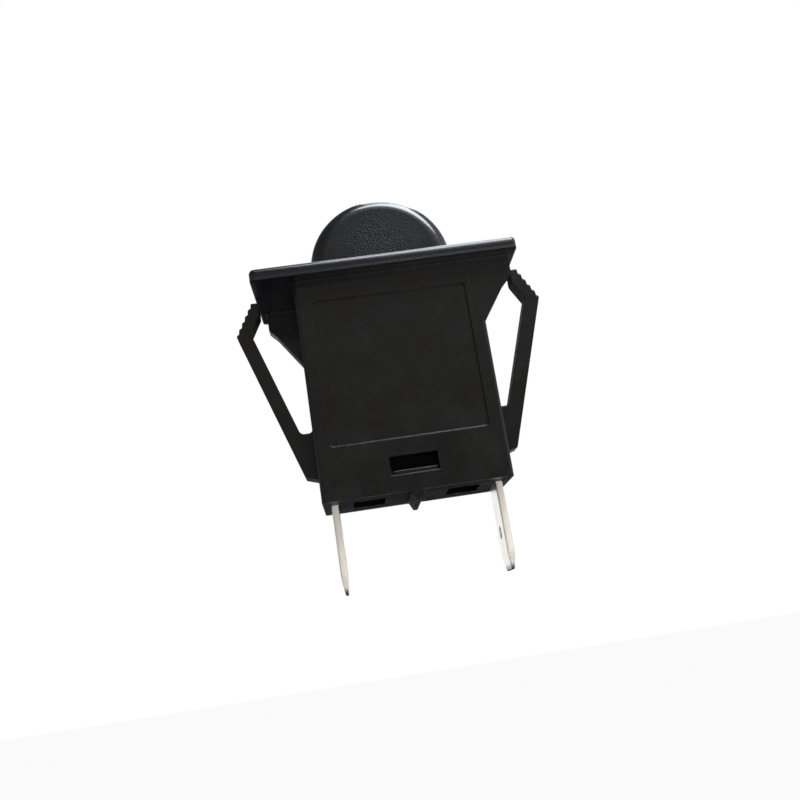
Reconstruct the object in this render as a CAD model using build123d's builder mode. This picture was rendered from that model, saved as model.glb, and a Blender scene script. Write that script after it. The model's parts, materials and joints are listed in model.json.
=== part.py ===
"""Glove box light switch: a snap-in push switch with a half-round button and two blade terminals.

Millimetres, +Z up. The origin is the centre of the panel cut-out, on the face of the flange that
seats on the panel. X runs along the flange, the front wall faces -Y, and the blades point down.
Letting the button out closes the contacts, and pressing it opens them.
"""

import os
from math import cos, radians, tan

from build123d import *

# ---- flange ----
flange_length = 30.0
flange_width = 15.0
flange_thickness = 1.45
flange_corner_radius = 0.5
flange_edge_radius = 0.6

# ---- housing body, a box open at the bottom ----
body_length = 20.8
body_width = 11.0
body_height = 25.1
body_edge_radius = 0.4
end_wall = 0.8
face_wall = 1.0
top_wall = 1.0

# ---- recessed panel on the front wall ----
panel_length = 17.5
panel_height = 16.7
panel_top = 2.55
panel_depth = 0.3
panel_corner_radius = 0.5

# ---- wings that centre the housing in the panel cut-out, one at each end ----
wing_span = 28.4
wing_thickness = 2.0
wing_edge_height = 2.2
wing_nose_height = 1.0
wing_nose_run = 0.95
wing_height = 7.35

# ---- snap arms ----
arm_width = 2.5
arm_forward = 1.45
arm_thickness = 1.6
arm_lean = 18.4
arm_shoulder_span = 35.1
arm_shoulder_drop = 4.5
arm_shoulder_radius = 0.25
arm_crotch_drop = 16.8
arm_crotch_radius = 0.6
wall_blend = 0.1
arm_foot_drop = 21.65
arm_foot_bevel = 0.6
ramp_slope = 29.1
ramp_thickness = 1.35
ramp_top_drop = 0.85
ramp_top_width = 0.8
tooth_count = 5
tooth_depth = 0.22

# ---- button ----
button_radius = 8.2
button_centre_height = 1.8
button_thickness = 7.6
button_edge_radius = 1.6
button_travel = 4.5
button_gap = 0.25
shoulder_height = 2.4
shoulder_rest_gap = 0.1
guide_gap = 0.3
core_length = 3.7
core_width = 4.2
core_height = 6.0
core_offset = 5.15

# ---- stem under the button, with the window that carries the contact bridge ----
stem_length = 4.6
stem_width = 6.0
stem_foot_height = 1.2
overtravel = 0.5
window_side_gap = 0.25

# ---- terminals ----
tab_width = 4.8
tab_thickness = 0.8
tab_length = 9.6
tab_edge_radius = 0.2
tab_bevel_length = 1.9
tab_bevel_depth = 0.25
tab_side_bevel_depth = 0.6
tab_hole_radius = 0.7
tab_hole_drop = 5.4
terminal_strip_width = 3.6
terminal_shoulder_width = 6.4
terminal_shoulder_height = 1.6
terminal_arm_end = 3.4
terminal_bend_radius = 0.5
terminal_press_gap = 0.5
end_wall_gap = 0.1

# ---- contacts ----
contact_spacing = 11.2
contact_head_radius = 1.3
contact_head_height = 0.5
contact_shank_radius = 0.7
contact_upset_radius = 1.0
contact_upset_height = 0.2
contact_open_gap = 0.05
rivet_gap = 0.02
bridge_length = 14.2
bridge_width = 3.4
bridge_thickness = 0.5
bridge_end_radius = 1.0

# ---- springs ----
contact_spring_height = 2.6
contact_spring_radius = 1.25
contact_spring_wire = 0.3
contact_spring_turns = 4
return_spring_radius = 2.3
return_spring_wire = 0.45
return_spring_turns = 6
spring_end_gap = 0.02
spring_pip_gap = 0.25
spring_pip_height = 0.9

# ---- terminal base that closes the housing ----
base_gap = 0.1
slot_gap = 0.08
base_pocket_length = 3.6
base_pocket_width = 4.6
base_pocket_depth = 1.4
base_pocket_offset = 5.3
post_height = 1.6
guard_length = 6.4
guard_thickness = 0.7
guard_inset = 0.6
guard_height = 1.6
rib_root_width = 1.5
rib_tip_width = 0.5
rib_height = 1.0
rib_tip_radius = 0.2

# ---- snap nibs of the base and the windows they catch in ----
latch_window_length = 5.3
latch_window_height = 2.05
latch_sill_height = 1.85
latch_side_gap = 0.35
nib_seat_gap = 0.05
nib_flat_height = 0.4
nib_ramp_height = 0.3
nib_inset = 0.1
nib_root = 0.5

# ---- places that follow from the sizes above ----
half_length = body_length / 2
half_width = body_width / 2
cavity_length = body_length - 2 * end_wall
cavity_width = body_width - 2 * face_wall
terminal_spacing = cavity_length - 2 * end_wall_gap - tab_thickness
shoulder_top = -(top_wall + shoulder_rest_gap)
shoulder_bottom = shoulder_top - shoulder_height
terminal_arm_top = shoulder_bottom - button_travel - terminal_press_gap
terminal_arm_bottom = terminal_arm_top - tab_thickness
fixed_contact_face = terminal_arm_bottom - contact_head_height
bridge_top = fixed_contact_face - contact_open_gap - contact_head_height
bridge_bottom = bridge_top - bridge_thickness
window_top = bridge_top + overtravel
window_bottom = bridge_bottom - contact_spring_height
stem_bottom = window_bottom - stem_foot_height
base_height = latch_sill_height + nib_seat_gap + nib_flat_height + nib_ramp_height
base_bottom = -body_height
base_top = base_bottom + base_height
latch_sill = base_bottom + latch_sill_height
blade_inner = terminal_spacing / 2 - tab_thickness / 2
blade_outer = terminal_spacing / 2 + tab_thickness / 2
tab_end = base_bottom - tab_length


def leg_outer(height):
    """X of a snap arm's outer face at a height below its shoulder."""
    return arm_shoulder_span / 2 - (-arm_shoulder_drop - height) * tan(radians(arm_lean))


def leg_inner(height):
    return leg_outer(height) - arm_thickness / cos(radians(arm_lean))


def ramp_outer(height):
    """X of the toothed ramp's outer line at a height above the shoulder."""
    return arm_shoulder_span / 2 - (arm_shoulder_drop + height) * tan(radians(ramp_slope))


def ramp_inner(height):
    return ramp_outer(height) - ramp_thickness / cos(radians(ramp_slope))


def arm_outline(side):
    """Points of one snap arm in X and Z, from its crotch up the inside and down the toothed outside."""
    slopes = tan(radians(ramp_slope)) + tan(radians(arm_lean))
    knee = -arm_shoulder_drop + (leg_inner(-arm_shoulder_drop) - ramp_inner(-arm_shoulder_drop)) / -slopes
    top_inner = ramp_outer(-ramp_top_drop) - ramp_top_width
    bend = -ramp_top_drop - (top_inner - ramp_inner(-ramp_top_drop)) / tan(radians(ramp_slope))
    root = half_length - end_wall / 2
    points = [
        (root, -arm_crotch_drop),
        (leg_inner(-arm_crotch_drop), -arm_crotch_drop),
        (leg_inner(knee), knee),
        (top_inner, bend),
        (top_inner, -ramp_top_drop),
    ]
    rise = (arm_shoulder_drop - ramp_top_drop) / tooth_count
    for tooth in range(tooth_count):
        tip = -ramp_top_drop - tooth * rise
        valley = tip - 0.75 * rise
        points.append((ramp_outer(tip), tip))
        points.append((ramp_outer(valley) - tooth_depth, valley))
    points += [
        (leg_outer(-arm_shoulder_drop), -arm_shoulder_drop),
        (leg_outer(-arm_foot_drop), -arm_foot_drop),
        (root, -arm_foot_drop - arm_foot_bevel),
    ]
    return [(side * x, z) for x, z in points]


def wing_outline(side):
    """Points of one wing in X and Z."""
    root = half_length - end_wall / 2
    edge = wing_span / 2
    points = [
        (root, 0),
        (edge, 0),
        (edge, -wing_edge_height),
        (edge - wing_nose_run, -wing_edge_height - wing_nose_height),
        (half_length, -wing_height),
        (root, -wing_height),
    ]
    return [(side * x, z) for x, z in points]


def coil(height, radius, wire, turns):
    """A compression spring standing on Z = 0, its end turns closed and its ends cut square."""
    with BuildPart() as spring:
        with BuildLine() as path:
            Helix(pitch=(height - wire) / turns, height=height - wire, radius=radius)
        with BuildSketch(Plane(origin=path.line @ 0, z_dir=path.line % 0)):
            RegularPolygon(radius=wire / 2, side_count=8)
        sweep(path=path.line, is_frenet=True)
    return spring.part.moved(Location((0, 0, wire / 2)))


# ---- housing: flange, body, wings and snap arms moulded as one ----
with BuildPart() as housing:
    with BuildSketch():
        RectangleRounded(flange_length, flange_width, flange_corner_radius)
    extrude(amount=flange_thickness)
    fillet(housing.faces().sort_by(Axis.Z)[-1].edges(), flange_edge_radius)

    with BuildSketch():
        RectangleRounded(body_length, body_width, body_edge_radius)
    extrude(amount=-body_height)

    # the wing at +X is level with the front wall and the one at -X with the back wall
    for side, wing_back in ((1, half_width - wing_thickness), (-1, -half_width)):
        with BuildSketch(Plane.XZ.offset(wing_back)):
            with BuildLine():
                Polyline(*wing_outline(side), close=True)
            make_face()
        extrude(amount=wing_thickness)

    # the arms stand in front of the middle
    for side in (1, -1):
        with BuildSketch(Plane.XZ.offset(arm_forward)) as arm_profile:
            with BuildLine():
                Polyline(*arm_outline(side), close=True)
            make_face()
            crotch = arm_profile.vertices().sort_by_distance(
                (side * leg_inner(-arm_crotch_drop), -arm_crotch_drop)
            )
            fillet(crotch[0], arm_crotch_radius)
            shoulder = arm_profile.vertices().sort_by_distance(
                (side * arm_shoulder_span / 2, -arm_shoulder_drop)
            )
            fillet(shoulder[0], arm_shoulder_radius)
        extrude(amount=arm_width / 2, both=True)
        root_corner = housing.edges().filter_by(Axis.Y).sort_by_distance(
            (side * half_length, -arm_forward, -arm_crotch_drop)
        )
        fillet(root_corner[0], arm_crotch_radius - wall_blend)

    # cavity, open at the bottom, and the slot that the button rises through
    with BuildSketch(Plane.XY.offset(-top_wall)):
        Rectangle(cavity_length, cavity_width)
    extrude(amount=-(body_height - top_wall), mode=Mode.SUBTRACT)
    with BuildSketch(Plane.XY.offset(flange_thickness)):
        RectangleRounded(
            2 * (button_radius + button_gap),
            button_thickness + 2 * button_gap,
            button_edge_radius + button_gap,
        )
    extrude(amount=-(flange_thickness + top_wall), mode=Mode.SUBTRACT)

    # recessed panel on the front wall
    with BuildSketch(Plane.XZ.offset(half_width)):
        with Locations((0, -panel_top - panel_height / 2)):
            RectangleRounded(panel_length, panel_height, panel_corner_radius)
    extrude(amount=-panel_depth, mode=Mode.SUBTRACT)

    # latch windows through the front and back walls
    with BuildSketch(Plane.XZ):
        with Locations((0, latch_sill + latch_window_height / 2)):
            Rectangle(latch_window_length, latch_window_height)
    extrude(amount=half_width, both=True, mode=Mode.SUBTRACT)

# ---- button: half-round head, retaining shoulder and slotted stem moulded as one ----
with BuildPart() as button:
    with BuildSketch(Plane.XZ):
        with Locations((0, button_centre_height)):
            Circle(button_radius)
        with Locations((0, (button_centre_height + shoulder_top) / 2)):
            Rectangle(2 * button_radius, button_centre_height - shoulder_top)
        with Locations((0, shoulder_top)):
            Rectangle(
                2 * (button_radius + button_gap), button_radius, align=(Align.CENTER, Align.MAX), mode=Mode.SUBTRACT
            )
    extrude(amount=button_thickness / 2, both=True)
    rim = button.faces().sort_by(Axis.Y)
    fillet(
        (rim[0].edges() + rim[-1].edges()).filter_by_position(
            Axis.Z, shoulder_top + button_gap, button_centre_height + button_radius
        ),
        button_edge_radius,
    )

    with BuildSketch(Plane.XY.offset(shoulder_top)):
        Rectangle(cavity_length - 2 * guide_gap, cavity_width - 2 * guide_gap)
    extrude(amount=-shoulder_height)
    fillet(
        button.edges().filter_by(Axis.Z).filter_by_position(Axis.Z, shoulder_bottom, shoulder_top),
        guide_gap,
    )

    with BuildSketch(Plane.XY.offset(shoulder_bottom)):
        Rectangle(stem_length, stem_width)
    extrude(amount=stem_bottom - shoulder_bottom)
    with BuildSketch(Plane.XY.offset(stem_bottom)):
        Circle(return_spring_radius - return_spring_wire / 2 - spring_pip_gap)
    extrude(amount=-spring_pip_height)

    # window through the stem for the contact bridge, and the cored-out underside of the head
    with BuildSketch(Plane.XY.offset(window_bottom)):
        Rectangle(stem_length, bridge_width + 2 * window_side_gap)
    extrude(amount=window_top - window_bottom, mode=Mode.SUBTRACT)
    with BuildSketch(Plane.XY.offset(shoulder_bottom)):
        with Locations((core_offset, 0), (-core_offset, 0)):
            Rectangle(core_length, core_width)
    extrude(amount=core_height, mode=Mode.SUBTRACT)

# ---- terminal base: snap-in floor with the spring post, blade slots and snap nibs ----
with BuildPart() as terminal_base:
    with BuildSketch(Plane.XY.offset(base_bottom)):
        Rectangle(cavity_length - 2 * base_gap, cavity_width - 2 * base_gap)
        for side in (1, -1):
            with Locations((side * (blade_inner - slot_gap), 0)):
                Rectangle(
                    end_wall + cavity_length / 2,
                    tab_width + 2 * slot_gap,
                    align=(Align.MIN if side > 0 else Align.MAX, Align.CENTER),
                    mode=Mode.SUBTRACT,
                )
    extrude(amount=base_height)

    with BuildSketch(Plane.XY.offset(base_bottom)):
        with Locations((base_pocket_offset, 0), (-base_pocket_offset, 0)):
            RectangleRounded(base_pocket_length, base_pocket_width, body_edge_radius)
    extrude(amount=base_pocket_depth, mode=Mode.SUBTRACT)

    with BuildSketch(Plane.XY.offset(base_top)):
        Circle(return_spring_radius - return_spring_wire / 2 - spring_pip_gap)
    extrude(amount=post_height)

    # walls that close the view through the latch windows
    with BuildSketch(Plane.XY.offset(base_top)):
        guard_middle = cavity_width / 2 - base_gap - guard_inset - guard_thickness / 2
        with Locations((0, guard_middle), (0, -guard_middle)):
            Rectangle(guard_length, guard_thickness)
    extrude(amount=guard_height)

    # rib across the middle of the underside, front to back
    with BuildSketch(Plane.XZ) as rib_profile:
        with BuildLine():
            Polyline(
                (-rib_root_width / 2, base_bottom + base_height / 2),
                (-rib_root_width / 2, base_bottom),
                (-rib_tip_width / 2, base_bottom - rib_height),
                (rib_tip_width / 2, base_bottom - rib_height),
                (rib_root_width / 2, base_bottom),
                (rib_root_width / 2, base_bottom + base_height / 2),
                close=True,
            )
        make_face()
        fillet(rib_profile.vertices().group_by(Axis.Y)[0], rib_tip_radius)
    extrude(amount=cavity_width / 2 - base_gap, both=True)

    # a ramped nib on the front and back
    base_face = cavity_width / 2 - base_gap
    nib_bottom = latch_sill + nib_seat_gap
    nib_outer = half_width - nib_inset
    with BuildSketch(Plane.YZ):
        for face in (1, -1):
            with BuildLine():
                Polyline(
                    (face * (base_face - nib_root), nib_bottom),
                    (face * nib_outer, nib_bottom),
                    (face * nib_outer, nib_bottom + nib_flat_height),
                    (face * base_face, base_top),
                    (face * (base_face - nib_root), base_top),
                    close=True,
                )
            make_face()
    extrude(amount=latch_window_length / 2 - latch_side_gap, both=True)

# ---- terminals: a blade below the base, bent inwards above it to carry a fixed contact ----
terminals = {}
fixed_contacts = {}
for name, side in (("left", -1), ("right", 1)):
    with BuildPart() as terminal:
        with BuildSketch(Plane.XZ):
            with BuildLine():
                Polyline(
                    (side * blade_inner, base_bottom),
                    (side * blade_outer, base_bottom),
                    (side * blade_outer, terminal_arm_top),
                    (side * terminal_arm_end, terminal_arm_top),
                    (side * terminal_arm_end, terminal_arm_bottom),
                    (side * blade_inner, terminal_arm_bottom),
                    close=True,
                )
            make_face()
        extrude(amount=terminal_strip_width / 2, both=True)
        bend = terminal.edges().filter_by(Axis.Y)
        fillet(bend.sort_by_distance((side * blade_inner, 0, terminal_arm_bottom))[0], terminal_bend_radius)
        fillet(
            terminal.edges().filter_by(Axis.Y).sort_by_distance((side * blade_outer, 0, terminal_arm_top))[0],
            terminal_bend_radius + tab_thickness,
        )

        # shoulders that stop the terminal on the base
        with BuildSketch(Plane.YZ.offset(side * terminal_spacing / 2)):
            with Locations((0, base_top)):
                Rectangle(
                    terminal_shoulder_width, terminal_shoulder_height, align=(Align.CENTER, Align.MIN)
                )
            with Locations((0, base_top)):
                Rectangle(tab_width, base_height, align=(Align.CENTER, Align.MAX))
        extrude(amount=tab_thickness / 2, both=True)

        # the blade with rolled edges, its end bevelled on all four sides, and the detent hole
        with BuildSketch(Plane.XY.offset(base_bottom)):
            with Locations((side * terminal_spacing / 2, 0)):
                RectangleRounded(tab_thickness, tab_width, tab_edge_radius)
        extrude(amount=-tab_length)
        with BuildSketch(Plane.XZ):
            for face, inwards in ((blade_inner, 1), (blade_outer, -1)):
                with BuildLine():
                    Polyline(
                        (side * face, tab_end + tab_bevel_length),
                        (side * face, tab_end),
                        (side * (face + inwards * tab_bevel_depth), tab_end),
                        close=True,
                    )
                make_face()
        extrude(amount=tab_width / 2, both=True, mode=Mode.SUBTRACT)
        with BuildSketch(Plane.YZ.offset(side * terminal_spacing / 2)):
            for edge in (tab_width / 2, -tab_width / 2):
                with BuildLine():
                    Polyline(
                        (edge, tab_end + tab_bevel_length),
                        (edge, tab_end),
                        (edge - tab_side_bevel_depth * edge / abs(edge), tab_end),
                        close=True,
                    )
                make_face()
        extrude(amount=tab_thickness / 2, both=True, mode=Mode.SUBTRACT)
        with Locations(Location((side * blade_outer, 0, base_bottom - tab_hole_drop), (0, 90, 0))):
            Hole(tab_hole_radius)
        with Locations((side * contact_spacing / 2, 0, terminal_arm_top)):
            Hole(contact_shank_radius + rivet_gap, depth=tab_thickness)
    terminals[name] = terminal.part

    with BuildPart() as contact:
        with BuildSketch(Plane.XY.offset(fixed_contact_face)):
            with Locations((side * contact_spacing / 2, 0)):
                Circle(contact_head_radius)
        extrude(amount=contact_head_height)
        with BuildSketch(Plane.XY.offset(terminal_arm_bottom)):
            with Locations((side * contact_spacing / 2, 0)):
                Circle(contact_shank_radius)
        extrude(amount=tab_thickness)
        with BuildSketch(Plane.XY.offset(terminal_arm_top)):
            with Locations((side * contact_spacing / 2, 0)):
                Circle(contact_upset_radius)
        extrude(amount=contact_upset_height)
    fixed_contacts[name] = contact.part

# ---- contact bridge, carried in the stem's window, and its two contacts ----
with BuildPart() as contact_bridge:
    with BuildSketch(Plane.XY.offset(bridge_bottom)):
        RectangleRounded(bridge_length, bridge_width, bridge_end_radius)
        with Locations((contact_spacing / 2, 0), (-contact_spacing / 2, 0)):
            Circle(contact_shank_radius + rivet_gap, mode=Mode.SUBTRACT)
    extrude(amount=bridge_thickness)

moving_contacts = {}
for name, side in (("left", -1), ("right", 1)):
    with BuildPart() as contact:
        with BuildSketch(Plane.XY.offset(bridge_top)):
            with Locations((side * contact_spacing / 2, 0)):
                Circle(contact_head_radius)
        extrude(amount=contact_head_height)
        with BuildSketch(Plane.XY.offset(bridge_bottom)):
            with Locations((side * contact_spacing / 2, 0)):
                Circle(contact_shank_radius)
        extrude(amount=bridge_thickness)
        with BuildSketch(Plane.XY.offset(bridge_bottom - contact_upset_height)):
            with Locations((side * contact_spacing / 2, 0)):
                Circle(contact_upset_radius)
        extrude(amount=contact_upset_height)
    moving_contacts[name] = contact.part

# ---- springs: one under the stem, one under the bridge ----
return_spring = coil(
    stem_bottom - base_top - 2 * spring_end_gap, return_spring_radius, return_spring_wire, return_spring_turns
).moved(Location((0, 0, base_top + spring_end_gap)))
contact_spring = coil(
    contact_spring_height - 2 * spring_end_gap, contact_spring_radius, contact_spring_wire, contact_spring_turns
).moved(Location((0, 0, window_bottom + spring_end_gap)))

# ---- one STEP file for each piece ----
pieces = {
    "housing": housing.part,
    "button": button.part,
    "terminal_base": terminal_base.part,
    "left_terminal": terminals["left"],
    "right_terminal": terminals["right"],
    "left_fixed_contact": fixed_contacts["left"],
    "right_fixed_contact": fixed_contacts["right"],
    "contact_bridge": contact_bridge.part,
    "left_moving_contact": moving_contacts["left"],
    "right_moving_contact": moving_contacts["right"],
    "return_spring": return_spring,
    "contact_spring": contact_spring,
}
os.makedirs("parts", exist_ok=True)
for name, piece in pieces.items():
    piece.label = name
    export_step(piece, f"parts/{name}.step")
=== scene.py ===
"""Glove box light switch: finishes, wound springs, stage and camera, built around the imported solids."""

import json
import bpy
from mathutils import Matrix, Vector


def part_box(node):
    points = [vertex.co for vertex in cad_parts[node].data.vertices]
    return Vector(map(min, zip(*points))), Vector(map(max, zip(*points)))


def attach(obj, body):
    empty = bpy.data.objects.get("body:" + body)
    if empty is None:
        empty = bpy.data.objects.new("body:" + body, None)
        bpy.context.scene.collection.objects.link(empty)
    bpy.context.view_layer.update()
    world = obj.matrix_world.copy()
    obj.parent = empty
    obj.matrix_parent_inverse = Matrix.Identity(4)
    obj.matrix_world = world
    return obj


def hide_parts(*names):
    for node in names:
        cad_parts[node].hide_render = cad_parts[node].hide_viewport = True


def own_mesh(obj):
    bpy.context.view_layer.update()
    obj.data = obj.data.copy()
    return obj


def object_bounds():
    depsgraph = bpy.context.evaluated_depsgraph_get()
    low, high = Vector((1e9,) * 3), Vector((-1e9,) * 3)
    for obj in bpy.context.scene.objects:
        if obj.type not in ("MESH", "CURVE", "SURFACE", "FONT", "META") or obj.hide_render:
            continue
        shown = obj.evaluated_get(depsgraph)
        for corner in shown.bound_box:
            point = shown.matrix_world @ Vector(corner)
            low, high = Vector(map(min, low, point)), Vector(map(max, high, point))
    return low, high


bl_info = {
    "name": "Glove box light switch",
    "version": (1, 0, 0),
    "blender": (4, 5, 0),
    "location": "3D View > Sidebar > Switch",
    "description": "Dresses the snap-in push switch and sets it on its stage",
    "category": "Object",
}

from collections import namedtuple
from math import cos, pi, radians, sin

import bmesh
import bpy
from bpy.props import FloatProperty, FloatVectorProperty, IntProperty, PointerProperty
from mathutils import Matrix, Vector

MM = 0.001
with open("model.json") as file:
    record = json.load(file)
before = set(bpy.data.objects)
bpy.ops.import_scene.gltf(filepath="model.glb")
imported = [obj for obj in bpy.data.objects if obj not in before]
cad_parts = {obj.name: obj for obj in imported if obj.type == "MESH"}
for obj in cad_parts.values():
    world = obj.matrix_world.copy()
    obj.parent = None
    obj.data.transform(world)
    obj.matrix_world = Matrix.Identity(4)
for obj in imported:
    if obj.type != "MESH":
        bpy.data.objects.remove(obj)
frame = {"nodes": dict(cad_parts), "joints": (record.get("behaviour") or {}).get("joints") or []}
solids = frame["nodes"]
solid_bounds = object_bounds()
blade_end = solid_bounds[0][2]

# ---------------------------------------------------------------- marks left by moulding and cutting
# a noise's scale, detail, roughness and distortion, and the factors that draw it out along the axes
Mark = namedtuple("Mark", "per_metre detail roughness swirl stretch", defaults=(0.0, None))
MOULD_CLOUD = Mark(260.0, 4.0, 0.6)
MOULD_FLOW = Mark(900.0, 3.0, 0.55, 0.4, stretch=(1.0, 1.0, 0.25))
MOULD_FLECK = Mark(2600.0, 3.0, 0.7)
MOULD_GRAIN = Mark(9000.0, 2.0, 0.6)
BUTTON_PATCH = Mark(420.0, 4.0, 0.6)
BUTTON_GRAIN = Mark(5200.0, 3.0, 0.65)
TIN_LINES = Mark(2600.0, 3.0, 0.6, stretch=(1.0, 9.0, 0.35))
TIN_BLUSH = Mark(420.0, 4.0, 0.6, 0.6)
SHEAR_LINES = Mark(2400.0, 3.0, 0.6, stretch=(6.0, 1.0, 0.6))
METAL_LINES = Mark(4000.0, 3.0, 0.6)
BRIDGE_LINES = Mark(4000.0, 3.0, 0.6, stretch=(0.3, 4.0, 1.0))
METAL_BLUSH = Mark(700.0, 3.0, 0.6)

# a colour's darkest and lightest share, and where the marks begin and end to lighten it
Mottle = namedtuple("Mottle", "dark light start end")
MOULD_MOTTLE = Mottle(0.78, 1.45, 0.48, 0.78)
BUTTON_MOTTLE = Mottle(0.8, 1.6, 0.45, 0.75)
METAL_MOTTLE = Mottle(0.82, 1.0, 0.4, 0.7)
TARNISH_RISE = (0.5, 0.75)
SHEAR_RISE = (0.4, 0.7)

# how far a face turns to an axis before it begins to count as facing it, and when it counts fully
SQUARE_ON = (0.6, 0.9)
FLAT_FACE = (0.95, 0.99)
DOWNWARD = (0.4, 0.8)
UPPER_FACE = (0.05, 0.3)
UPPER_EDGE = (0.05, 0.25)

# the heights between which the polished flange gives way to the grained body
FLANGE_FOOT = (-0.1 * MM, 0.1 * MM)

# ---------------------------------------------------------------- terminal base
BASE_FINENESS = 1.3
# the share of the plastic's reflection that the painted shade keeps
PAINTED_SHADE_SHINE = 0.1
# what lies this far above its floor and this far in from its faces gets painted shade: a copy of the
# plastic with less reflection
PAINTED_SHADE_RISE = 1.0 * MM
PAINTED_SHADE_DEPTH = 1.2 * MM

# ---------------------------------------------------------------- stage, in metres
Lamp = namedtuple("Lamp", "place target size colour")
LAMPS = {
    "overhead": Lamp((0.070, 0.18, 0.30), (0.070, 0.18, 0.0), (0.15, 0.42), (0.90, 0.95, 1.0)),
    "window": Lamp((0.095, -0.14, 0.265), (0.0, 0.0, 0.0), (0.22, 0.20), (0.88, 0.94, 1.0)),
    "table": Lamp((0.125, -0.24, -0.15), (0.0, 0.0, 0.0), (0.26, 0.14), (1.0, 0.98, 0.97)),
}
FLOOR_HALF = 3.0
# the distances over which the dark card on the floor fades in and out
CARD_FRONT = (-0.30, -0.22)
CARD_BACK = (2.0, 2.8)
CARD_SIDES = (0.5, 0.8)
CAMERA_PLACE = Vector((-7.514, -103.075, -38.823)) * MM
CAMERA_YAW, CAMERA_PITCH, CAMERA_ROLL = radians(4.1075), radians(13.6), radians(-8.9642)
SENSOR_WIDTH = 36.0
NEAREST, FARTHEST = 0.001, 20.0

# where each share of the even light begins and where it is full, as parts of a direction along an axis
FRONT_AHEAD, FRONT_RIGHT = 0.96, 0.28
FRONT_SPREAD = (0.35, 0.9)
FRONT_RISE = (0.1, 0.38)
FRONT_TOP = (0.36, 0.46)
RIGHT_SPREAD = (0.1, 0.9)
SIDES_SPREAD = (0.5, 0.9)
BEHIND_SPREAD = (0.2, 0.7)
AROUND_TOP = (0.35, 0.6)
GROUND_RISE = (-0.6, -0.05)
WARM_SPREAD = (0.0, 0.6)
WHITE_SPREAD = (0.72, 0.92)


# ---------------------------------------------------------------- shader maths
class Wire:
    """A shader value. Sums, differences and products written on it become nodes."""

    def __init__(self, finish, socket):
        self.finish = finish
        self.socket = socket

    def join(self, operation, first, second):
        """A Math node, or a Vector Math node where this value is a vector."""
        kind = "VectorMath" if self.socket.type == "VECTOR" else "Math"
        return self.finish.add(kind, {"operation": operation}, {0: first, 1: second})

    def __add__(self, other):
        return self.join("ADD", self, other)

    def __radd__(self, other):
        return self.join("ADD", other, self)

    def __sub__(self, other):
        return self.join("SUBTRACT", self, other)

    def __rsub__(self, other):
        return self.join("SUBTRACT", other, self)

    def __mul__(self, other):
        return self.join("MULTIPLY", self, other)

    def __rmul__(self, other):
        return self.join("MULTIPLY", other, self)

    def __neg__(self):
        return self * -1.0

    def __abs__(self):
        return self.finish.add("Math", {"operation": "ABSOLUTE"}, {0: self})

    def axis(self, name):
        """One component of a vector."""
        return self.finish.add("SeparateXYZ", {}, {"Vector": self}, name)

    def length(self):
        """The length of a vector."""
        return self.finish.add("VectorMath", {"operation": "LENGTH"}, {0: self}, "Value")

    def step(self, low, high):
        """0 below low and 1 above high, with a smooth rise between them."""
        sockets = {"Value": self, "From Min": low, "From Max": high}
        return self.finish.add("MapRange", {"interpolation_type": "SMOOTHSTEP"}, sockets)

    def between(self, low, high):
        """Low where this is 0, high where it is 1, and in proportion between them."""
        return low + self * (high - low)


class Finish:
    """The node tree of one material or world."""

    def __init__(self, owner):
        owner.use_nodes = True
        self.owner = owner
        self.tree = owner.node_tree
        self.tree.nodes.clear()

    def add(self, kind, settings, sockets, out=0):
        """Adds one node: its settings first, then the values or links of its sockets."""
        node = self.tree.nodes.new("ShaderNode" + kind)
        for name, value in settings.items():
            setattr(node, name, value)
        for name, value in sockets.items():
            if isinstance(value, Wire):
                self.tree.links.new(value.socket, node.inputs[name])
            else:
                node.inputs[name].default_value = value
        return Wire(self, node.outputs[out]) if len(node.outputs) else None

    def place(self):
        """The surface point in the part's own frame, in metres."""
        return self.add("TexCoord", {}, {}, "Object")

    def facing(self):
        """The surface normal in the part's own frame."""
        return self.add("TexCoord", {}, {}, "Normal")

    def noise(self, place, mark, fineness=1.0):
        """The strength of a mark, from about 0 to 1."""
        sockets = {
            "Vector": place * mark.stretch if mark.stretch else place,
            "Scale": mark.per_metre * fineness,
            "Detail": mark.detail,
            "Roughness": mark.roughness,
            "Distortion": mark.swirl,
        }
        return self.add("TexNoise", {"noise_dimensions": "3D"}, sockets)

    def mix(self, factor, first, second):
        """A colour, or a normal, between first and second."""
        first, second = (value if isinstance(value, Wire) else (*value, 1.0) for value in (first, second))
        # inputs 6 and 7 and output 2 are the node's colours
        settings = {"data_type": "RGBA", "clamp_factor": True}
        return self.add("Mix", settings, {0: factor, 6: first, 7: second}, 2)

    def mottled(self, colour, marks, mottle):
        """A colour that is darker where there are few marks, and lighter where there are many."""
        dark, light = (tuple(c * share for c in colour) for share in (mottle.dark, mottle.light))
        return self.mix(marks.step(mottle.start, mottle.end), dark, light)

    def bump(self, height, distance, strength, normal):
        """The normal given, tilted by the slope of height."""
        sockets = {"Height": height, "Distance": distance, "Strength": strength, "Normal": normal}
        return self.add("Bump", {}, sockets)

    def soft_edges(self, radius):
        """The surface normal, rounded near the edges."""
        return self.add("Bevel", {"samples": 6}, {"Radius": radius})

    def surface(self, shader):
        """Ends the tree with shader, and gives the finished material or world."""
        kind = "OutputWorld" if isinstance(self.owner, bpy.types.World) else "OutputMaterial"
        self.add(kind, {}, {"Surface": shader})
        return self.owner


def new_finish(name):
    """An empty material to build a finish in."""
    return Finish(bpy.data.materials.new(name))


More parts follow.
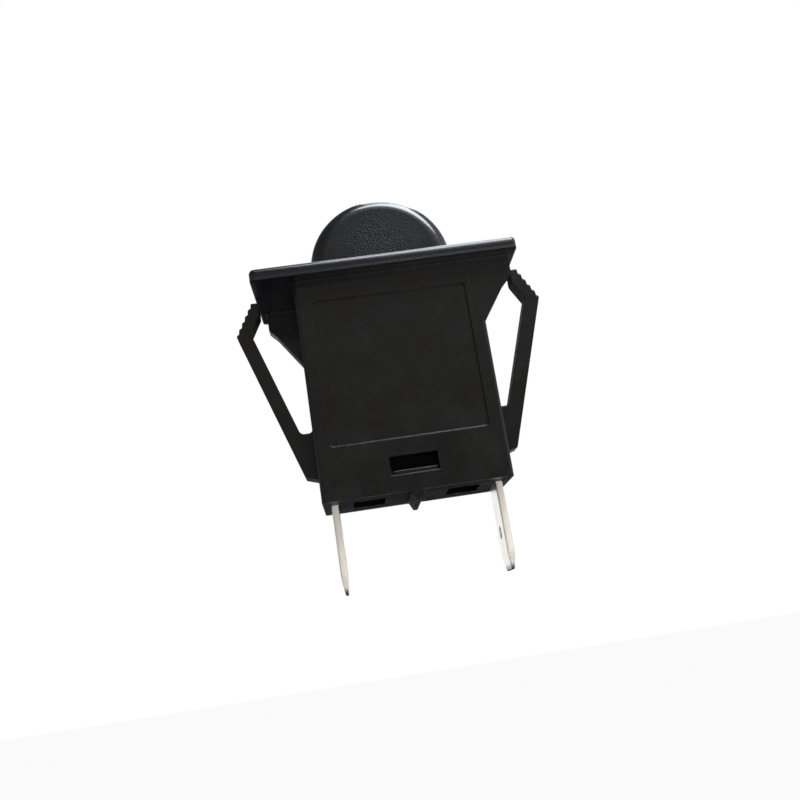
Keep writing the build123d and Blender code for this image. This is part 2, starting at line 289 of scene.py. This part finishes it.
# ---------------------------------------------------------------- finishes
def black_moulding(look, name="black_moulding", fineness=1.0, shine=1.0):
    """Black plastic: a polished flange whose colour is tinted blue as a painted reflection, and the tool's
    fine grain with faint flow clouding behind it.
    """
    finish = new_finish(name)
    place, facing = finish.place(), finish.facing()
    cloud = finish.noise(place, MOULD_CLOUD, fineness)
    flow = finish.noise(place, MOULD_FLOW, fineness)
    grain = finish.noise(place, MOULD_GRAIN, fineness)
    fleck = finish.noise(place, MOULD_FLECK, fineness)
    grained = 1.0 - place.axis("Z").step(*FLANGE_FOOT)
    colour = finish.mottled(look.colour, cloud * 0.55 + flow * 0.3 + fleck * 0.35, MOULD_MOTTLE)
    # the sides and the underside are duller than the front and back
    dull = abs(facing.axis("X")).step(*SQUARE_ON) * look.side
    dull = dull + (-facing.axis("Z")).step(*DOWNWARD) * look.below
    rough = look.polish + grained * (look.roughness - look.polish + dull)
    rough = rough + (cloud - 0.5) * look.uneven + grain * look.grain_dull
    # the flange's edges are less glossy than its face
    coat = facing.axis("Z").step(*UPPER_FACE).between(look.edge_gloss, 1.0) * look.coat
    # of the other edges, only those that face upwards are worn round enough to catch the light
    worn = finish.soft_edges(look.worn)
    corners = finish.mix(worn.axis("Z").step(*UPPER_EDGE), finish.soft_edges(look.corner), worn)
    corners = finish.mix(grained, finish.soft_edges(look.rim), corners)
    relief = finish.bump(flow * 0.7 + cloud, look.flow, grained.between(0.1, 0.4), corners)
    relief = finish.bump(grain * 0.6 + fleck, look.grain, grained.between(0.15, 0.8), relief)
    shader = finish.add(
        "BsdfPrincipled",
        {},
        {
            # painted reflection: the flange's colour is tinted blue for the bluish light that its polish
            # reflects
            "Base Color": finish.mix(grained, look.flange_painted_reflection, colour),
            "Roughness": rough,
            # a shine below 1 paints shade, with a duller copy of the plastic
            "Specular IOR Level": look.gloss * shine,
            "Coat Weight": (1.0 - grained) * coat,
            "Coat Roughness": look.coat_roughness,
            "Coat IOR": look.coat_index,
            "Normal": relief,
        },
    )
    return finish.surface(shader)


def textured_button(look):
    """Black plastic with a spark-eroded texture on its flat faces and a glossy rounded rim."""
    finish = new_finish("textured_button")
    place, facing = finish.place(), finish.facing()
    patch = finish.noise(place, BUTTON_PATCH)
    grain = finish.noise(place, BUTTON_GRAIN)
    pits = {"Vector": place, "Scale": 1.0 / look.pit}
    cell = finish.add("TexVoronoi", {"feature": "F1"}, pits, "Distance")
    face = abs(facing.axis("Y")).step(*FLAT_FACE)
    # the texture is worn smoother towards the rim
    from_middle = (place * (1.0, 0.0, 1.0) - (0.0, 0.0, look.middle)).length()
    kept = from_middle.step(look.worn_from, look.worn_to).between(1.0, look.kept)
    height = (patch * 0.4 + grain * 0.5 + cell * 0.8) * kept
    strength = face.between(look.rim_texture, 1.0)
    relief = finish.bump(height, look.depth, strength, finish.soft_edges(look.corner))
    shader = finish.add(
        "BsdfPrincipled",
        {},
        {
            "Base Color": finish.mottled(look.colour, patch * 0.5 + grain * 0.6, BUTTON_MOTTLE),
            "Roughness": look.roughness + face * look.flat + patch * look.uneven + grain * look.grain_dull,
            "Specular IOR Level": look.gloss,
            "Coat Weight": (1.0 - face) * look.coat,
            "Coat Roughness": look.coat_roughness,
            "Coat IOR": look.coat_index,
            "Normal": relief,
        },
    )
    return finish.surface(shader)


def tinned_strip(look):
    """Brass strip, tinned and then cut: bright drawn faces, warmer sheared edges, and ends painted dark for
    the dark surroundings that they reflect.
    """
    finish = new_finish("tinned_strip")
    place, facing = finish.place(), finish.facing()
    lines = finish.noise(place, TIN_LINES)
    blush = finish.noise(place, TIN_BLUSH)
    shear = finish.noise(place, SHEAR_LINES)
    sheared = abs(facing.axis("Y")).step(*SQUARE_ON)
    plate = finish.mix(blush.step(*TARNISH_RISE) * look.patchy, look.plate, look.tarnish)
    edge = finish.mix(shear.step(*SHEAR_RISE), look.edge, look.plate)
    colour = finish.mix(sheared, plate, edge)
    # painted dark reflection: the blade's end is darkened to near black, up to a ragged line a little above
    # it
    height = place.axis("Z") + (shear - 0.5) * look.ragged
    shade_painted = height.step(blade_end + look.painted_dark_from, blade_end + look.painted_dark_to).between(look.painted_darkening, 0.0)
    shader = finish.add(
        "BsdfPrincipled",
        {},
        {
            # painted dark reflection at the blade ends
            "Base Color": finish.mix(shade_painted, colour, look.painted_dark_colour),
            "Roughness": look.roughness + lines * look.line_dull + sheared * look.dull,
            "Metallic": 1.0,
            "Normal": finish.bump(lines, look.line_depth, 0.6, finish.soft_edges(look.corner)),
        },
    )
    return finish.surface(shader)


def plain_metal(look, name, colour, roughness, line_mark=METAL_LINES):
    """Bare metal with fine working lines and a little clouding."""
    finish = new_finish(name)
    place = finish.place()
    lines = finish.noise(place, line_mark)
    blush = finish.noise(place, METAL_BLUSH)
    shader = finish.add(
        "BsdfPrincipled",
        {},
        {
            "Base Color": finish.mottled(colour, blush, METAL_MOTTLE),
            "Roughness": roughness + lines * look.line_dull,
            "Metallic": 1.0,
            "Normal": finish.bump(lines, look.line_depth, 0.5, finish.soft_edges(look.corner)),
        },
    )
    return finish.surface(shader)


# ---------------------------------------------------------------- mesh helpers
def dress(node, material):
    """Gives a solid its finish, and smooths its rounded faces."""
    solid = solids[node]
    solid.data.materials.clear()
    solid.data.materials.append(material)
    for polygon in solid.data.polygons:
        polygon.use_smooth = True
        polygon.material_index = 0
    return solid


def place_object(name, data):
    """A new object of the scene, made of a mesh, a lamp or a camera."""
    made = bpy.data.objects.new(name, data)
    bpy.context.scene.collection.objects.link(made)
    return made


def coil(name, low, high, radius, wire, turns, around=28, sides=12, flat_turns=0.75):
    """Round wire wound from low to high about the Z axis, with flattened end turns."""
    shape = bmesh.new()
    steps = int(turns * around)
    climb = high - low - wire
    rings = []
    for i in range(steps + 1):
        wound = turns * i / steps
        # the end turns lie flat and the turns between them are evenly spaced
        rise = min(max((wound - flat_turns) / (turns - 2 * flat_turns), 0.0), 1.0)
        angle = 2 * pi * wound
        centre = Vector((radius * cos(angle), radius * sin(angle), low + wire / 2 + climb * rise))
        outward = Vector((cos(angle), sin(angle), 0))
        ring = []
        for k in range(sides):
            turn = 2 * pi * k / sides
            spoke = outward * cos(turn) + Vector((0, 0, sin(turn)))
            ring.append(shape.verts.new(centre + spoke * wire / 2))
        rings.append(ring)
    for near, far in zip(rings, rings[1:]):
        for k in range(sides):
            shape.faces.new((near[k], near[(k + 1) % sides], far[(k + 1) % sides], far[k]))
    shape.faces.new(rings[0])
    shape.faces.new(list(reversed(rings[-1])))
    bmesh.ops.recalc_face_normals(shape, faces=shape.faces)
    mesh = bpy.data.meshes.new(name)
    shape.to_mesh(mesh)
    shape.free()
    for polygon in mesh.polygons:
        polygon.use_smooth = True
    return place_object(name, mesh)


# ---------------------------------------------------------------- sizes and colours a user would change
class HousingLook(bpy.types.PropertyGroup):
    """The black plastic of the housing and the terminal base"""

    colour: FloatVectorProperty(
        name="Plastic",
        description="Colour of the black housing",
        subtype="COLOR",
        size=3,
        default=(0.0040, 0.0036, 0.0034),
    )
    # painted reflection: a blue tint that stands for the bluish light the flange's polish reflects
    flange_painted_reflection: FloatVectorProperty(
        name="Flange",
        description="Colour of the polished flange",
        subtype="COLOR",
        size=3,
        default=(0.0016, 0.0030, 0.0080),
    )
    roughness: FloatProperty(
        name="Roughness",
        description="How matt the housing is",
        subtype="FACTOR",
        default=0.21,
        min=0,
        max=1,
    )
    side: FloatProperty(
        name="Dull sides",
        description="How much duller the sides are",
        subtype="FACTOR",
        default=0.45,
        min=0,
        max=1,
    )
    below: FloatProperty(
        name="Dull underside",
        description="How much duller the underside is",
        subtype="FACTOR",
        default=0.12,
        min=0,
        max=1,
    )
    uneven: FloatProperty(
        name="Uneven",
        description="How much the roughness varies from place to place",
        subtype="FACTOR",
        default=0.3,
        min=0,
        max=1,
    )
    grain_dull: FloatProperty(
        name="Dull grain",
        description="How much duller the grain's high spots are",
        subtype="FACTOR",
        default=0.08,
        min=0,
        max=1,
    )
    polish: FloatProperty(
        name="Flange roughness",
        description="How matt the flange is",
        subtype="FACTOR",
        default=0.19,
        min=0,
        max=1,
    )
    gloss: FloatProperty(
        name="Gloss",
        description="Strength of the reflection",
        subtype="FACTOR",
        default=0.5,
        min=0,
        max=1,
    )
    coat: FloatProperty(
        name="Flange gloss",
        description="Extra gloss of the flange",
        subtype="FACTOR",
        default=0.7,
        min=0,
        max=1,
    )
    edge_gloss: FloatProperty(
        name="Edge gloss",
        description="Share of the flange's gloss that its edges have",
        subtype="FACTOR",
        default=0.25,
        min=0,
        max=1,
    )
    coat_roughness: FloatProperty(
        name="Gloss blur",
        description="Blur of the extra gloss",
        subtype="FACTOR",
        default=0.12,
        min=0,
        max=1,
    )
    coat_index: FloatProperty(
        name="Gloss index", description="Refractive index of the extra gloss", default=1.7, min=1
    )
    rim: FloatProperty(
        name="Flange edge",
        description="Softness of the flange's edges",
        unit="LENGTH",
        default=0.7 * MM,
        min=0,
    )
    corner: FloatProperty(
        name="Corner",
        description="Softness of the other corners",
        unit="LENGTH",
        default=0.05 * MM,
        min=0,
    )
    worn: FloatProperty(
        name="Worn edge",
        description="Softness of the upward edges",
        unit="LENGTH",
        default=0.22 * MM,
        min=0,
    )
    flow: FloatProperty(
        name="Flow marks",
        description="Depth of the faint flow marks",
        unit="LENGTH",
        default=0.08 * MM,
        min=0,
    )
    grain: FloatProperty(
        name="Grain", description="Depth of the fine grain", unit="LENGTH", default=0.02 * MM, min=0
    )


class ButtonLook(bpy.types.PropertyGroup):
    """The textured plastic of the button"""

    colour: FloatVectorProperty(
        name="Plastic",
        description="Colour of the button",
        subtype="COLOR",
        size=3,
        default=(0.0044, 0.0043, 0.0048),
    )
    roughness: FloatProperty(
        name="Roughness", description="How matt the rim is", subtype="FACTOR", default=0.2, min=0, max=1
    )
    flat: FloatProperty(
        name="Dull faces",
        description="How much duller the flat faces are",
        subtype="FACTOR",
        default=0.1,
        min=0,
        max=1,
    )
    uneven: FloatProperty(
        name="Uneven",
        description="How much the roughness varies from place to place",
        subtype="FACTOR",
        default=0.1,
        min=0,
        max=1,
    )
    grain_dull: FloatProperty(
        name="Dull grain",
        description="How much duller the grain's high spots are",
        subtype="FACTOR",
        default=0.08,
        min=0,
        max=1,
    )
    gloss: FloatProperty(
        name="Gloss",
        description="Strength of the reflection",
        subtype="FACTOR",
        default=0.4,
        min=0,
        max=1,
    )
    coat: FloatProperty(
        name="Rim gloss",
        description="Extra gloss of the rim",
        subtype="FACTOR",
        default=1.0,
        min=0,
        max=1,
    )
    coat_roughness: FloatProperty(
        name="Gloss blur",
        description="Blur of the extra gloss",
        subtype="FACTOR",
        default=0.16,
        min=0,
        max=1,
    )
    coat_index: FloatProperty(
        name="Gloss index", description="Refractive index of the extra gloss", default=1.8, min=1
    )
    corner: FloatProperty(
        name="Corner", description="Softness of the corners", unit="LENGTH", default=0.08 * MM, min=0
    )
    pit: FloatProperty(
        name="Pit size",
        description="Size of the texture's pits",
        unit="LENGTH",
        default=0.22 * MM,
        min=0.01 * MM,
    )
    depth: FloatProperty(
        name="Pit depth", description="Depth of the texture", unit="LENGTH", default=0.045 * MM, min=0
    )
    rim_texture: FloatProperty(
        name="Rim texture",
        description="Share of the texture that the rim has",
        subtype="FACTOR",
        default=0.2,
        min=0,
        max=1,
    )
    kept: FloatProperty(
        name="Texture kept",
        description="Share of the texture that is left where it is most worn",
        subtype="FACTOR",
        default=0.25,
        min=0,
        max=1,
    )
    middle: FloatProperty(
        name="Texture middle",
        description="Height at which the texture is deepest",
        unit="LENGTH",
        default=3.5 * MM,
    )
    worn_from: FloatProperty(
        name="Wear begins",
        description="How far from there it begins to fade",
        unit="LENGTH",
        default=1.5 * MM,
    )
    worn_to: FloatProperty(
        name="Wear ends", description="How far from there it has faded", unit="LENGTH", default=6.0 * MM
    )


class TerminalLook(bpy.types.PropertyGroup):
    """The tinned brass of the two blade terminals"""

    plate: FloatVectorProperty(
        name="Tin",
        description="Colour of the tin plate",
        subtype="COLOR",
        size=3,
        default=(0.93, 0.92, 0.88),
    )
    tarnish: FloatVectorProperty(
        name="Tarnish",
        description="Colour of the duller patches",
        subtype="COLOR",
        size=3,
        default=(0.66, 0.58, 0.46),
    )
    edge: FloatVectorProperty(
        name="Sheared edge",
        description="Colour of the sheared edges",
        subtype="COLOR",
        size=3,
        default=(1.0, 0.95, 0.84),
    )
    # painted dark reflection: the colour the blade ends are darkened to, for the dark surroundings they
    # reflect
    painted_dark_colour: FloatVectorProperty(
        name="Bare end",
        description="Colour of the stained ends",
        subtype="COLOR",
        size=3,
        default=(0.05, 0.036, 0.024),
    )
    roughness: FloatProperty(
        name="Roughness", description="How dull the plate is", subtype="FACTOR", default=0.2, min=0, max=1
    )
    patchy: FloatProperty(
        name="Patches",
        description="How strongly the duller patches show",
        subtype="FACTOR",
        default=0.5,
        min=0,
        max=1,
    )
    # painted dark reflection: how strongly the blade ends are darkened
    painted_darkening: FloatProperty(
        name="Stain",
        description="How strongly the ends are stained",
        subtype="FACTOR",
        default=0.95,
        min=0,
        max=1,
    )
    line_dull: FloatProperty(
        name="Dull lines",
        description="How much duller the drawn lines are",
        subtype="FACTOR",
        default=0.12,
        min=0,
        max=1,
    )
    dull: FloatProperty(
        name="Dull edge",
        description="How much duller the sheared edges are",
        subtype="FACTOR",
        default=0.44,
        min=0,
        max=1,
    )
    corner: FloatProperty(
        name="Corner", description="Softness of the edges", unit="LENGTH", default=0.2 * MM, min=0
    )
    line_depth: FloatProperty(
        name="Drawn lines",
        description="Depth of the drawn lines",
        unit="LENGTH",
        default=0.006 * MM,
        min=0,
    )
    # painted dark reflection: where the darkening of the blade ends is full and where it stops
    painted_dark_from: FloatProperty(
        name="Full stain",
        description="Length of the end that is fully stained",
        unit="LENGTH",
        default=0.1 * MM,
    )
    painted_dark_to: FloatProperty(
        name="Last stain",
        description="Distance from the end where the stain stops",
        unit="LENGTH",
        default=0.8 * MM,
    )
    ragged: FloatProperty(
        name="Ragged stain",
        description="Unevenness of the stain's limit",
        unit="LENGTH",
        default=0.4 * MM,
    )


class MechanismLook(bpy.types.PropertyGroup):
    """The metals and the wire of the parts inside"""

    silver: FloatVectorProperty(
        name="Silver",
        description="Colour of the contacts",
        subtype="COLOR",
        size=3,
        default=(0.84, 0.83, 0.80),
    )
    brass: FloatVectorProperty(
        name="Brass",
        description="Colour of the bridge",
        subtype="COLOR",
        size=3,
        default=(0.72, 0.53, 0.26),
    )
    steel: FloatVectorProperty(
        name="Steel",
        description="Colour of the springs",
        subtype="COLOR",
        size=3,
        default=(0.60, 0.60, 0.61),
    )
    line_dull: FloatProperty(
        name="Dull lines",
        description="How much duller the fine lines are",
        subtype="FACTOR",
        default=0.12,
        min=0,
        max=1,
    )
    silver_roughness: FloatProperty(
        name="Silver roughness",
        description="How dull the contacts are",
        subtype="FACTOR",
        default=0.22,
        min=0,
        max=1,
    )
    brass_roughness: FloatProperty(
        name="Brass roughness",
        description="How dull the bridge is",
        subtype="FACTOR",
        default=0.28,
        min=0,
        max=1,
    )
    steel_roughness: FloatProperty(
        name="Steel roughness",
        description="How dull the springs are",
        subtype="FACTOR",
        default=0.3,
        min=0,
        max=1,
    )
    corner: FloatProperty(
        name="Corner", description="Softness of the edges", unit="LENGTH", default=0.05 * MM, min=0
    )
    line_depth: FloatProperty(
        name="Working lines",
        description="Depth of the fine lines",
        unit="LENGTH",
        default=0.004 * MM,
        min=0,
    )
    wire: FloatProperty(
        name="Wire",
        description="Thickness of the return spring's wire",
        unit="LENGTH",
        default=0.45 * MM,
        min=0,
    )
    turns: IntProperty(name="Turns", description="Turns of the return spring", default=6, min=3)
    small_wire: FloatProperty(
        name="Small wire",
        description="Thickness of the contact spring's wire",
        unit="LENGTH",
        default=0.3 * MM,
        min=0,
    )
    small_turns: IntProperty(
        name="Small turns", description="Turns of the contact spring", default=4, min=3
    )


class StageLook(bpy.types.PropertyGroup):
    """The floor, the light and the lens"""

    floor: FloatVectorProperty(
        name="Floor",
        description="Colour of the floor",
        subtype="COLOR",
        size=3,
        default=(0.86, 0.86, 0.86),
    )
    card: FloatVectorProperty(
        name="Card",
        description="Colour of the dark card",
        subtype="COLOR",
        size=3,
        default=(0.034, 0.032, 0.048),
    )
    whiteness: FloatProperty(
        name="Whiteness",
        description="How white the floor looks",
        subtype="FACTOR",
        default=0.95,
        min=0,
        max=1,
    )
    drop: FloatProperty(
        name="Drop",
        description="How far the floor lies below the blades",
        unit="LENGTH",
        default=0.16,
        min=0,
    )
    daylight: FloatProperty(name="Daylight", description="Strength of the even light", default=1.0, min=0)
    room: FloatProperty(name="Room", description="Even light from everywhere", default=0.09, min=0)
    fill: FloatProperty(name="Fill", description="Even light from the front", default=0.44, min=0)
    right: FloatProperty(name="Right", description="Even light from the right", default=0.3, min=0)
    around: FloatProperty(
        name="Around", description="Even light from both sides and behind", default=0.3, min=0
    )
    low_fill: FloatProperty(
        name="Low fill",
        description="Share of the light from the front that comes from low down",
        subtype="FACTOR",
        default=0.1,
        min=0,
        max=1,
    )
    ground: FloatProperty(
        name="Ground",
        description="Share of the even light that comes from below",
        subtype="FACTOR",
        default=0.2,
        min=0,
        max=1,
    )
    warm: FloatVectorProperty(
        name="Warm",
        description="Colour of the light from the front",
        subtype="COLOR",
        size=3,
        default=(1.0, 0.955, 0.91),
    )
    cool: FloatVectorProperty(
        name="Cool",
        description="Colour of the other even light",
        subtype="COLOR",
        size=3,
        default=(0.80, 0.86, 1.0),
    )
    overhead: FloatProperty(
        name="Overhead", description="Power of the overhead lamp", unit="POWER", default=0.6, min=0
    )
    window: FloatProperty(
        name="Window", description="Power of the high front lamp", unit="POWER", default=1.0, min=0
    )
    table: FloatProperty(
        name="Table", description="Power of the low front lamp", unit="POWER", default=0.28, min=0
    )
    lens: FloatProperty(name="Lens", description="Focal length", unit="CAMERA", default=41.586, min=1)


class LookSettings(bpy.types.PropertyGroup):
    """All the looks"""

    housing: PointerProperty(name="Housing", description="Looks of the housing", type=HousingLook)
    button: PointerProperty(name="Button", description="Looks of the button", type=ButtonLook)
    terminal: PointerProperty(name="Terminals", description="Looks of the terminals", type=TerminalLook)
    mechanism: PointerProperty(name="Inside", description="Looks of the parts inside", type=MechanismLook)
    stage: PointerProperty(name="Stage", description="Looks of the stage", type=StageLook)


# ---------------------------------------------------------------- operators
class SWITCH_OT_housing(bpy.types.Operator):
    """Finish the housing with its flange, wings and snap arms"""

    bl_idname = "switch.housing"
    bl_label = "Housing"

    def execute(self, context):
        dress("housing", black_moulding(context.scene.switch_look.housing))
        return {"FINISHED"}


class SWITCH_OT_button(bpy.types.Operator):
    """Finish the button"""

    bl_idname = "switch.button"
    bl_label = "Button"

    def execute(self, context):
        dress("button", textured_button(context.scene.switch_look.button))
        return {"FINISHED"}


class SWITCH_OT_terminal_base(bpy.types.Operator):
    """Finish the terminal base"""

    bl_idname = "switch.terminal_base"
    bl_label = "Terminal base"

    def execute(self, context):
        look = context.scene.switch_look.housing
        base = dress("terminal_base", black_moulding(look, "base_moulding", BASE_FINENESS))
        # painted shade: the walls behind the latch windows get a copy of the plastic with less reflection,
        # standing for the dark inside the housing
        base.data.materials.append(black_moulding(look, "inner_moulding", BASE_FINENESS, PAINTED_SHADE_SHINE))
        low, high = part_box("terminal_base")
        for polygon in base.data.polygons:
            above_floor = polygon.center.z > low.z + PAINTED_SHADE_RISE
            behind_wall = abs(polygon.center.y) < high.y - PAINTED_SHADE_DEPTH
            polygon.material_index = 1 if above_floor and behind_wall else 0
        return {"FINISHED"}


class SWITCH_OT_terminals(bpy.types.Operator):
    """Finish the two blade terminals"""

    bl_idname = "switch.terminals"
    bl_label = "Terminals"

    def execute(self, context):
        finish = tinned_strip(context.scene.switch_look.terminal)
        for side in ("left", "right"):
            dress(side + "_terminal", finish)
        return {"FINISHED"}


class SWITCH_OT_contacts(bpy.types.Operator):
    """Finish the contact rivets and the bridge"""

    bl_idname = "switch.contacts"
    bl_label = "Contacts"

    def execute(self, context):
        look = context.scene.switch_look.mechanism
        silver = plain_metal(look, "contact_silver", look.silver, look.silver_roughness)
        for kind in ("fixed", "moving"):
            for side in ("left", "right"):
                dress(f"{side}_{kind}_contact", silver)
        brass = plain_metal(look, "bridge_brass", look.brass, look.brass_roughness, BRIDGE_LINES)
        dress("contact_bridge", brass)
        return {"FINISHED"}


class SWITCH_OT_springs(bpy.types.Operator):
    """Wind the return spring and the contact spring from round wire"""

    bl_idname = "switch.springs"
    bl_label = "Springs"

    def execute(self, context):
        look = context.scene.switch_look.mechanism
        steel = plain_metal(look, "spring_steel", look.steel, look.steel_roughness)
        travel = next(joint for joint in frame["joints"] if joint["name"] == "button_slide")["range_m"][1]
        for node, wire, turns, body in (
            ("return_spring", look.wire, look.turns, "housing_body"),
            ("contact_spring", look.small_wire, look.small_turns, "button_body"),
        ):
            low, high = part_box(node)
            radius = (high.x - low.x) / 2 - wire / 2
            piece = coil(node + "_wire", low.z, high.z, radius, wire, turns)
            piece.data.materials.append(steel)
            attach(piece, body)
            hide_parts(node)
            if node == "return_spring":
                length = high.z - low.z
                (length - travel) / length
                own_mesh(piece)
        return {"FINISHED"}


class SWITCH_OT_stage(bpy.types.Operator):
    """Set the floor, the light and the camera"""

    bl_idname = "switch.stage"
    bl_label = "Stage"

    def execute(self, context):
        look = context.scene.switch_look.stage
        self.floor(look)
        self.daylight(context.scene, look)
        for name, lamp in LAMPS.items():
            self.lamp(name, lamp, getattr(look, name))
        self.camera(context.scene, look)
        return {"FINISHED"}

    def floor(self, look):
        """A wide sheet of white paper below the part"""
        mesh = bpy.data.meshes.new("floor")
        height = blade_end - look.drop
        corners = [(-1, -1), (1, -1), (1, 1), (-1, 1)]
        mesh.from_pydata([(x * FLOOR_HALF, y * FLOOR_HALF, height) for x, y in corners], [], [(0, 1, 2, 3)])
        floor = place_object("floor", mesh)
        finish = new_finish("floor_paper")
        # a dark card, unseen by the camera, lies under and behind the part and keeps its underside dark
        place = finish.place()
        along = place.axis("Y")
        card = along.step(*CARD_FRONT) * (1.0 - along.step(*CARD_BACK))
        card = card * (1.0 - abs(place.axis("X")).step(*CARD_SIDES))
        shown = self.shown(finish, 1.0 - card)
        colour = finish.mix(card * (1.0 - shown), look.floor, look.card)
        paper = finish.add("BsdfDiffuse", {}, {"Color": colour})
        white = finish.add("Emission", {}, {"Color": (1, 1, 1, 1), "Strength": 1.0})
        mixed = finish.add("MixShader", {}, {0: shown * look.whiteness, 1: paper, 2: white})
        floor.data.materials.append(finish.surface(mixed))

    def daylight(self, scene, look):
        """Even light from the room, and a white background for the camera"""
        scene.world = bpy.data.worlds.new("daylight")
        finish = Finish(scene.world)
        direction = finish.add("TexCoord", {}, {}, "Generated")
        up = direction.axis("Z")
        behind = direction.axis("Y")
        ahead = -behind
        side = direction.axis("X")
        # the light from the front grows up to about a third of the height and stops above it
        front = (ahead * FRONT_AHEAD + side * FRONT_RIGHT).step(*FRONT_SPREAD) * (1.0 - up.step(*FRONT_TOP))
        front = front * up.step(*FRONT_RISE).between(look.low_fill, 1.0)
        around = abs(side).step(*SIDES_SPREAD) + behind.step(*BEHIND_SPREAD)
        around = around * (1.0 - up.step(*AROUND_TOP))
        level = look.room + front * look.fill + side.step(*RIGHT_SPREAD) * look.right + around * look.around
        level = level * up.step(*GROUND_RISE).between(look.ground, 1.0)
        tint = finish.mix(ahead.step(*WARM_SPREAD), look.cool, look.warm)
        soft = finish.add("Background", {}, {"Color": tint, "Strength": level * look.daylight})
        white = finish.add("Background", {}, {"Color": (1, 1, 1, 1), "Strength": 1.0})
        shown = self.shown(finish, behind.step(*WHITE_SPREAD))
        finish.surface(finish.add("MixShader", {}, {0: shown, 1: soft, 2: white}))

    def shown(self, finish, background):
        """1 for what the camera sees, and the share of the background that shiny faces mirror"""
        camera = finish.add("LightPath", {}, {}, "Is Camera Ray")
        glossy = finish.add("LightPath", {}, {}, "Is Glossy Ray")
        through = finish.add("LightPath", {}, {}, "Is Transmission Ray")
        return camera + (glossy + through) * background

    def lamp(self, name, shape, power):
        """A soft rectangular lamp"""
        data = bpy.data.lights.new(name, "AREA")
        data.shape = "RECTANGLE"
        data.size, data.size_y = shape.size
        data.energy = power
        data.color = shape.colour
        place = Vector(shape.place)
        aim = (Vector(shape.target) - place).to_track_quat("-Z", "Y")
        place_object(name, data).matrix_world = Matrix.Translation(place) @ aim.to_matrix().to_4x4()

    def camera(self, scene, look):
        """The camera, turned by its yaw, pitch and roll"""
        data = bpy.data.cameras.new("camera")
        data.lens = look.lens
        data.sensor_width = SENSOR_WIDTH
        data.clip_start = NEAREST
        data.clip_end = FARTHEST
        yaw, pitch, roll = CAMERA_YAW, CAMERA_PITCH, CAMERA_ROLL
        ahead = Vector((sin(yaw) * cos(pitch), cos(yaw) * cos(pitch), sin(pitch)))
        level = Vector((cos(yaw), -sin(yaw), 0.0))
        rise = level.cross(ahead)
        right = cos(roll) * level + sin(roll) * rise
        up = -sin(roll) * level + cos(roll) * rise
        turn = Matrix((right, up, -ahead)).transposed().to_4x4()
        scene.camera = place_object("camera", data)
        scene.camera.matrix_world = Matrix.Translation(CAMERA_PLACE) @ turn
        scene.view_settings.view_transform = "Standard"


class SWITCH_PT_sidebar(bpy.types.Panel):
    """Buttons for each piece, and the values a user would change"""

    bl_idname = "SWITCH_PT_sidebar"
    bl_label = "Glove box light switch"
    bl_space_type = "VIEW_3D"
    bl_region_type = "UI"
    bl_category = "Switch"

    def draw(self, context):
        look = context.scene.switch_look
        for piece in OPERATORS:
            self.layout.operator(piece.bl_idname)
        for group in (look.housing, look.button, look.terminal, look.mechanism, look.stage):
            box = self.layout.box()
            for name in group.__annotations__:
                box.prop(group, name)


OPERATORS = (
    SWITCH_OT_housing,
    SWITCH_OT_button,
    SWITCH_OT_terminal_base,
    SWITCH_OT_terminals,
    SWITCH_OT_contacts,
    SWITCH_OT_springs,
    SWITCH_OT_stage,
)
GROUPS = (HousingLook, ButtonLook, TerminalLook, MechanismLook, StageLook, LookSettings)


def register():
    for kind in (*GROUPS, *OPERATORS, SWITCH_PT_sidebar):
        bpy.utils.register_class(kind)
    bpy.types.Scene.switch_look = PointerProperty(
        name="Switch looks", description="Looks of the glove box light switch", type=LookSettings
    )


def unregister():
    del bpy.types.Scene.switch_look
    for kind in reversed((*GROUPS, *OPERATORS, SWITCH_PT_sidebar)):
        bpy.utils.unregister_class(kind)


def main():
    register()
    bpy.ops.switch.housing()
    bpy.ops.switch.button()
    bpy.ops.switch.terminal_base()
    bpy.ops.switch.terminals()
    bpy.ops.switch.contacts()
    bpy.ops.switch.springs()
    bpy.ops.switch.stage()


if __name__ == "__main__":
    main()
